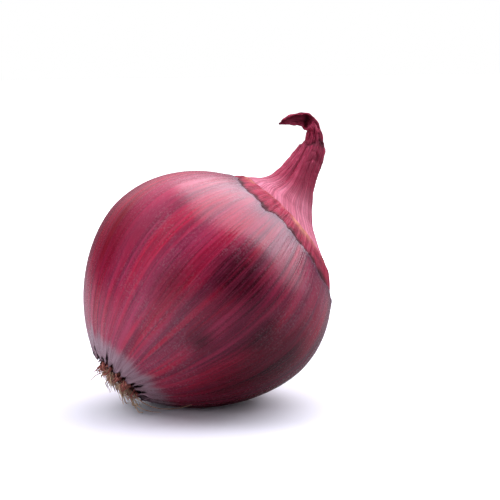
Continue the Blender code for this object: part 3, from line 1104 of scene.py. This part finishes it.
def draws(seed, number):
    """Draws a random number between two limits for each of many fibres, as a column."""
    chance = np.random.default_rng(seed)
    return lambda low, high, some=number: chance.uniform(low, high, some)[:, None]


def long_fibres(run):
    """The chosen long fibres: even steps from the first place to the last, with a parabola that
    bows out in the middle."""
    first, last, bow = np.moveaxis(np.array(LONG_FIBRES), 1, 0)[:, :, None]
    part = run[..., None]
    return first + (last - first) * part + 4 * bow * part * (1 - part)


def make_root_hairs(sizes, colours):
    """Fine broken root hairs between the main roots, each a thin tube that splays, curls and
    droops, and the chosen long ones, in one mesh."""
    draw = draws(51, HAIRS)
    plate = plate_radius(sizes)
    foot = plate * np.sqrt(draw(0.05, 1.0))
    angle = draw(-math.pi, math.pi)
    length = draw(0.0010, 0.0034)
    length[:LONG_HAIRS] = draw(0.0035, 0.0068, LONG_HAIRS)
    splay, droop = draw(-0.4, 0.5), draw(0.4, 1.15)
    run = np.linspace(0, 1, 8)[None, :]
    curl = draw(-0.5, 0.5)
    surface = 0.0003 - depth_at(sizes, sizes.crown_radius)
    depth = surface - sizes.plate_dome * (1 - (foot / plate) ** 2) - 0.62 * length * (1 - 0.4 * splay) * run
    angle = angle + curl * run**2 * length / plate
    routes = laid(sizes, foot + length * splay * run**1.2, angle, depth)
    routes = drooped(routes, run, droop * length, 0.0008, 0.0014, 52)
    routes[: len(LONG_FIBRES)] = long_fibres(run)
    widths = draw(0.00008, 0.00017) * (1 - 0.6 * run)
    widths[: len(LONG_FIBRES)] = 0.00022 * (1 - 0.6 * run)
    mesh = bundle("root_hairs", swept(kept_above(routes, 0.0003), widths, 0.8, 4))
    material = fibrous("root_hair", colours.straw, colours.bark, colours.straw)
    add_piece("root_hairs", mesh, material, "dry_root")


def make_crown_flakes(sizes, colours):
    """Pointed orange-pink flakes of old skin that stand round the root plate: flat tubes whose
    width shrinks to a point."""
    draw = draws(61, FLAKES)
    angle = draw(-math.pi, math.pi)
    foot = draw(0.45, 1.12) * plate_radius(sizes)
    length, lean = draw(0.0008, 0.0040), draw(-0.70, 0.60)
    run = np.linspace(0, 1, 7)[None, :]
    depth = 0.0004 - depth_at(sizes, sizes.crown_radius) - length * run
    routes = laid(sizes, foot + length * lean * run**1.5, angle + draw(-0.15, 0.15) * run, depth)
    routes = drooped(routes, run, 0 * length, 0.0005, 0.0018, 62)
    widths = draw(0.00024, 0.00062) * (1.02 - run**1.4)
    mesh = bundle("crown_flakes", swept(kept_above(routes, 0.0004), widths, 0.28, 6))
    material = fibrous("crown_flake", colours.ember, colours.deep, colours.ember)
    add_piece("crown_flakes", mesh, material, "dry_root")


# Stage


def view_axes(stage):
    """The camera's forward, right and up directions."""
    turned, flat = stage.azimuth, math.cos(stage.elevation)
    forward = np.array([-math.sin(turned) * flat, math.cos(turned) * flat, -math.sin(stage.elevation)])
    right = unit(np.cross(forward, [0, 0, 1]))
    return forward, right, np.cross(right, forward)


def aimed(thing, place, forward, right, up):
    """Puts a camera or light at a place, looking along forward."""
    rows = np.eye(4)
    rows[:3, 0], rows[:3, 1], rows[:3, 2], rows[:3, 3] = right, up, -forward, place
    thing.matrix_world = Matrix(rows)


def make_camera(stage):
    """A long lens at the height of the onion's upper half."""
    forward, right, up = view_axes(stage)
    middle = np.array([0, 0, stage.aim_height]) + stage.aim_right * right + stage.aim_up * up
    lens = bpy.data.cameras.new("camera")
    lens.lens = stage.focal_length
    lens.clip_start = 0.01
    camera = add_object("camera", lens)
    aimed(camera, middle - stage.distance * forward, forward, right, up)
    bpy.context.scene.camera = camera


LIGHT_COLOUR = (0.95, 0.965, 1.08)
LIGHTS = (  # place to the right, away and up, width and height, and whether surfaces mirror it
    ("overhead", (0.24, 0.19, 0.52), (0.78, 0.78), True),
    ("wall", (0.55, 0.02, 0.26), (0.34, 0.42), True),
    ("left", (-0.30, 0.02, 0.50), (0.50, 0.50), False),
    ("front", (-0.52, -0.40, 0.17), (0.50, 0.50), False),
)


def add_softbox(name, place, target, size, radiance, glossy):
    """A rectangular light of this radiance that faces the target. Without glossy it brightens
    surfaces but isn't mirrored in them."""
    forward = unit(target - place)
    right = unit(np.cross(forward, [0.1, 0.3, 1]))
    light = bpy.data.lights.new(name, "AREA")
    light.shape = "RECTANGLE"
    light.size, light.size_y = size
    light.energy = radiance * math.pi * size[0] * size[1]
    light.color = LIGHT_COLOUR
    lamp = add_object(name, light)
    lamp.visible_glossy = glossy
    aimed(lamp, place, forward, right, np.cross(right, forward))


def make_lights(stage):
    """Four boxes that face the onion: a wide one overhead, a small one on the right, and two soft
    ones on the left and in front."""
    forward, right = view_axes(stage)[:2]
    away = unit(forward * [1, 1, 0])
    axes = np.stack([right, away, [0, 0, 1]])
    target = np.array([0, 0, stage.aim_height])
    for name, place, size, glossy in LIGHTS:
        add_softbox(name, place @ axes, target, size, getattr(stage, name), glossy)


def make_world(stage):
    """White all round for the camera. As light, it is bright from high behind the onion and dim
    from in front and from below."""
    forward, right = view_axes(stage)[:2]
    bright = 0.8 * forward + 0.6 * right
    world = bpy.data.worlds.new("studio")
    world.use_nodes = True
    tree = world.node_tree
    tree.nodes.clear()
    towards = add_node(tree, "ShaderNodeTexCoord").outputs["Generated"]
    behind = vector_node(tree, "DOT_PRODUCT", {0: towards, 1: (bright[0], bright[1], 0.0)})["Value"]
    rise = add_node(tree, "ShaderNodeSeparateXYZ", {0: towards}).outputs["Z"]
    strength = ramped(tree, behind, -0.15, 0.7, stage.fill, stage.backdrop)
    strength = scaled(tree, strength, ramped(tree, rise, 0.05, 0.5, 0.18, 1.0))
    seen = add_node(tree, "ShaderNodeLightPath").outputs["Is Camera Ray"]
    shown = add_node(tree, "ShaderNodeMix", {0: seen, 2: strength, 3: 1.0}, data_type="FLOAT")
    inputs = {"Color": (1, 1, 1, 1), "Strength": shown.outputs[0]}
    shade = add_node(tree, "ShaderNodeBackground", inputs)
    output = add_node(tree, "ShaderNodeOutputWorld")
    tree.links.new(shade.outputs[0], output.inputs[0])
    bpy.context.scene.world = world


FLOOR_REACH = 3.0  # half its width
FLOOR_STEPS = 41


def make_floor(stage):
    """A wide flat sheet, finer in its middle. It gives back less light than it shows, least on the
    right, and its far parts glow softly into the background."""
    side = FLOOR_REACH * np.linspace(-1, 1, FLOOR_STEPS) ** 3
    x, y = np.meshgrid(side, side)
    index = np.arange(x.size).reshape(x.shape)
    corners = index[:-1, :-1], index[:-1, 1:], index[1:, 1:], index[1:, :-1]
    mesh = make_mesh("floor", side_by_side(x, y, 0 * x), side_by_side(*corners).reshape(-1, 4))
    material, tree, shader = new_material("pale_floor")
    place = add_node(tree, "ShaderNodeTexCoord").outputs["Object"]
    far = vector_node(tree, "LENGTH", {0: place})["Value"]
    across = vector_node(tree, "DOT_PRODUCT", {0: place, 1: tuple(view_axes(stage)[1])})["Value"]
    seen = add_node(tree, "ShaderNodeLightPath").outputs["Is Camera Ray"]
    shade = worked(tree, "MAXIMUM", seen, ramped(tree, across, -0.05, 0.02, 0.42, stage.floor_bounce))
    base = mixed(tree, shade, (0.02, 0.02, 0.02), tuple(stage.floor_colour))
    glow = scaled(tree, ramped(tree, far, 0.05, 0.30), seen)
    tree.links.new(base, shader.inputs["Base Color"])
    tree.links.new(glow, shader.inputs["Emission Strength"])
    shader.inputs["Roughness"].default_value = 0.6
    shader.inputs["Emission Color"].default_value = (0.98, 0.98, 1, 1)
    mesh.materials.append(material)
    floor = add_object("floor", mesh)
    floor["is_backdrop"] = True


# Add-on


def settings():
    """The scene's sizes and colours."""
    scene = bpy.context.scene
    return scene.onion_sizes, scene.onion_colours


class OnionOuterSkin(bpy.types.Operator):
    """Add the glossy torn outer skin"""

    bl_idname = "onion.outer_skin"
    bl_label = "Outer Skin"

    def execute(self, context):
        make_outer_skin(*settings())
        return {"FINISHED"}


class OnionBulb(bpy.types.Operator):
    """Add the bulb with the second skin and the dried neck"""

    bl_idname = "onion.bulb"
    bl_label = "Bulb and Neck"

    def execute(self, context):
        make_bulb(*settings())
        return {"FINISHED"}


class OnionRootPlate(bpy.types.Operator):
    """Add the corky root plate"""

    bl_idname = "onion.root_plate"
    bl_label = "Root Plate"

    def execute(self, context):
        make_root_plate(*settings())
        return {"FINISHED"}


class OnionRoots(bpy.types.Operator):
    """Add the main roots"""

    bl_idname = "onion.roots"
    bl_label = "Roots"

    def execute(self, context):
        make_roots(*settings())
        return {"FINISHED"}


class OnionRootHairs(bpy.types.Operator):
    """Add the fine hairs between the main roots"""

    bl_idname = "onion.root_hairs"
    bl_label = "Root Hairs"

    def execute(self, context):
        make_root_hairs(*settings())
        return {"FINISHED"}


class OnionCrownFlakes(bpy.types.Operator):
    """Add the flakes of old skin round the root plate"""

    bl_idname = "onion.crown_flakes"
    bl_label = "Crown Flakes"

    def execute(self, context):
        make_crown_flakes(*settings())
        return {"FINISHED"}


class OnionStageSet(bpy.types.Operator):
    """Add the floor, the lights and the camera"""

    bl_idname = "onion.stage"
    bl_label = "Stage"

    def execute(self, context):
        stage = context.scene.onion_stage
        make_floor(stage)
        make_world(stage)
        make_lights(stage)
        make_camera(stage)
        return {"FINISHED"}


class OnionPanel(bpy.types.Panel):
    """The onion's operators, sizes and colours"""

    bl_idname = "VIEW3D_PT_onion"
    bl_label = "Red Onion"
    bl_space_type = "VIEW_3D"
    bl_region_type = "UI"
    bl_category = "Onion"

    def draw(self, context):
        for operator in OPERATORS:
            self.layout.operator(operator.bl_idname)
        scene = context.scene
        for group in (scene.onion_sizes, scene.onion_colours, scene.onion_stage):
            box = self.layout.box()
            for name in group.__annotations__:
                box.prop(group, name)


GROUPS = {"onion_sizes": OnionSizes, "onion_colours": OnionColours, "onion_stage": OnionStage}
OPERATORS = (
    OnionOuterSkin,
    OnionBulb,
    OnionRootPlate,
    OnionRoots,
    OnionRootHairs,
    OnionCrownFlakes,
    OnionStageSet,
)
CLASSES = (*GROUPS.values(), *OPERATORS, OnionPanel)


def register():
    """Adds the classes, and the settings to every scene."""
    for item in CLASSES:
        bpy.utils.register_class(item)
    for name, group in GROUPS.items():
        setattr(bpy.types.Scene, name, bpy.props.PointerProperty(type=group))


def unregister():
    """Takes the settings and the classes away again."""
    for name in GROUPS:
        delattr(bpy.types.Scene, name)
    for item in reversed(CLASSES):
        bpy.utils.unregister_class(item)


def main():
    """Builds the onion and the stage."""
    register()
    bpy.context.scene.view_settings.view_transform = "Standard"
    streak_group()
    speckle_group()
    bpy.ops.onion.outer_skin()
    bpy.ops.onion.bulb()
    bpy.ops.onion.root_plate()
    bpy.ops.onion.roots()
    bpy.ops.onion.root_hairs()
    bpy.ops.onion.crown_flakes()
    bpy.ops.onion.stage()
    boxes = {"cad": CAD_BOX, "visual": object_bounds()}
    {name: [list(corner) for corner in box] for name, box in boxes.items()}


if __name__ == "__main__":
    main()
